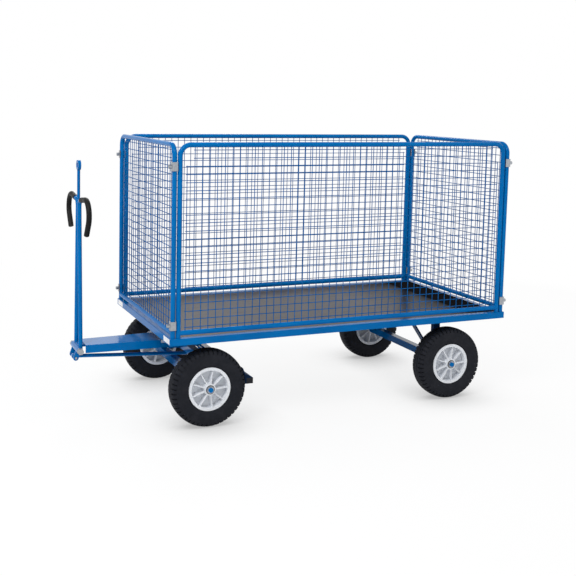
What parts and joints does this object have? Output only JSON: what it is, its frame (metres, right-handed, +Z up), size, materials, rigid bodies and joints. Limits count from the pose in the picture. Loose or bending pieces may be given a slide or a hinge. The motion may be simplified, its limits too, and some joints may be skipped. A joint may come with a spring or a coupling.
{
  "type": "mesh-sided hand cart",
  "caption": "Hand cart with a low flat deck, removable blue wire-mesh walls, four rubber-tyred wheels, turntable steering and an upright tow handle that works a brake",
  "frame": {"origin": "on the floor under the middle of the outline", "axes": "X along the cart with the drawbar towards -X, Y across it, Z up"},
  "size_m": [2.3978, 1, 1.4495],
  "materials": {
    "blue_paint": "semi-gloss powder coat",
    "deck_panel": "film-faced plywood with a fine grip pattern",
    "dark_screw": "black-coated countersunk screws",
    "zinc_plate": "bright zinc plate",
    "bearing_steel": "greased steel",
    "tyre_rubber": "moulded rubber, slightly dusty",
    "wheel_grey": "moulded, satin",
    "grip_black": "soft matte hose"
  },
  "bodies": {
    "chassis": {"deck_rim": "blue_paint", "deck_members": "blue_paint", "deck_board": "deck_panel", "deck_screws": "dark_screw", "turntable_subframe": "blue_paint", "turntable_upper_ring": "zinc_plate", "turntable_upper_bolts": "zinc_plate", "rear_axle": "blue_paint", "rear_axle_legs": "blue_paint", "rear_axle_braces": "blue_paint", "rear_axle_washers": "zinc_plate"},
    "bogie": {"turntable_lower_ring": "zinc_plate", "turntable_balls": "bearing_steel", "turntable_lower_bolts": "zinc_plate", "bogie_frame": "blue_paint", "bogie_legs": "blue_paint", "front_axle": "blue_paint", "front_axle_washers": "zinc_plate", "drawbar_arm": "blue_paint", "drawbar_nose": "blue_paint", "drawbar_pivot_bolt": "zinc_plate", "drawbar_pivot_washers": "zinc_plate", "brake_brackets": "blue_paint"},
    "handle": {"handle_left_leg": "blue_paint", "handle_right_leg": "blue_paint", "handle_left_grip": "grip_black", "handle_right_grip": "grip_black", "handle_sleeves": "blue_paint", "tow_eye": "blue_paint", "brake_levers": "blue_paint", "brake_lever_pin": "zinc_plate"},
    "brake_rod": {"brake_rod": "blue_paint", "brake_rod_nut": "zinc_plate"},
    "brake_beam": {"brake_beam": "blue_paint", "brake_beam_caps": "blue_paint", "brake_hangers": "blue_paint", "brake_shoes": "blue_paint"},
    "left_wall": {"left_wall_frame": "blue_paint", "left_wall_mesh": "blue_paint", "left_wall_clamps": "zinc_plate"},
    "right_wall": {"right_wall_frame": "blue_paint", "right_wall_mesh": "blue_paint", "right_wall_clamps": "zinc_plate"},
    "front_wall": {"front_wall_frame": "blue_paint", "front_wall_mesh": "blue_paint"},
    "rear_wall": {"rear_wall_frame": "blue_paint", "rear_wall_mesh": "blue_paint"},
    "front_left_wheel": {"front_left_tyre": "tyre_rubber", "front_left_wheel": "wheel_grey", "front_left_bearings": "bearing_steel"},
    "front_right_wheel": {"front_right_tyre": "tyre_rubber", "front_right_wheel": "wheel_grey", "front_right_bearings": "bearing_steel"},
    "rear_left_wheel": {"rear_left_tyre": "tyre_rubber", "rear_left_wheel": "wheel_grey", "rear_left_bearings": "bearing_steel"},
    "rear_right_wheel": {"rear_right_tyre": "tyre_rubber", "rear_right_wheel": "wheel_grey", "rear_right_bearings": "bearing_steel"}
  },
  "joints": [
    {"name": "steering", "type": "hinge", "parent": "chassis", "child": "bogie", "pos_m": [-0.59591, 0, 0.35], "axis": [0, 0, 1], "range_deg": [-90, 90]},
    {"name": "handle_tilt", "type": "hinge", "parent": "bogie", "child": "handle", "pos_m": [-1.16991, 0, 0.341], "axis": [0, -1, 0], "range_deg": [0, 90]},
    {"name": "brake_rod_swing", "type": "hinge", "parent": "handle", "child": "brake_rod", "pos_m": [-1.18489, 0, 0.29751], "axis": [0, -1, 0], "range_deg": [-93.02, 0]},
    {"name": "brake_release", "type": "hinge", "parent": "bogie", "child": "brake_beam", "pos_m": [-0.41591, 0, 0.288], "axis": [0, -1, 0], "range_deg": [0, 6]},
    {"name": "front_left_spin", "type": "hinge", "parent": "bogie", "child": "front_left_wheel", "pos_m": [-0.59591, -0.433, 0.2], "axis": [0, 1, 0], "continuous": true},
    {"name": "front_right_spin", "type": "hinge", "parent": "bogie", "child": "front_right_wheel", "pos_m": [-0.59591, 0.433, 0.2], "axis": [0, 1, 0], "continuous": true},
    {"name": "rear_left_spin", "type": "hinge", "parent": "chassis", "child": "rear_left_wheel", "pos_m": [0.84909, -0.433, 0.2], "axis": [0, 1, 0], "continuous": true},
    {"name": "rear_right_spin", "type": "hinge", "parent": "chassis", "child": "rear_right_wheel", "pos_m": [0.84909, 0.433, 0.2], "axis": [0, 1, 0], "continuous": true},
    {"name": "left_wall_lift", "type": "slide", "parent": "chassis", "child": "left_wall", "axis": [0, 0, 1], "range_m": [0, 0.05]},
    {"name": "right_wall_lift", "type": "slide", "parent": "chassis", "child": "right_wall", "axis": [0, 0, 1], "range_m": [0, 0.05]},
    {"name": "front_wall_lift", "type": "slide", "parent": "chassis", "child": "front_wall", "axis": [0, 0, 1], "range_m": [0, 0.9]},
    {"name": "rear_wall_lift", "type": "slide", "parent": "chassis", "child": "rear_wall", "axis": [0, 0, 1], "range_m": [0, 0.9]}
  ],
  "couplings": [
    {"joint": "brake_rod_swing", "follows": "handle_tilt", "ratio": -1.028},
    {"joint": "brake_release", "follows": "handle_tilt", "ratio": 0.0666}
  ]
}
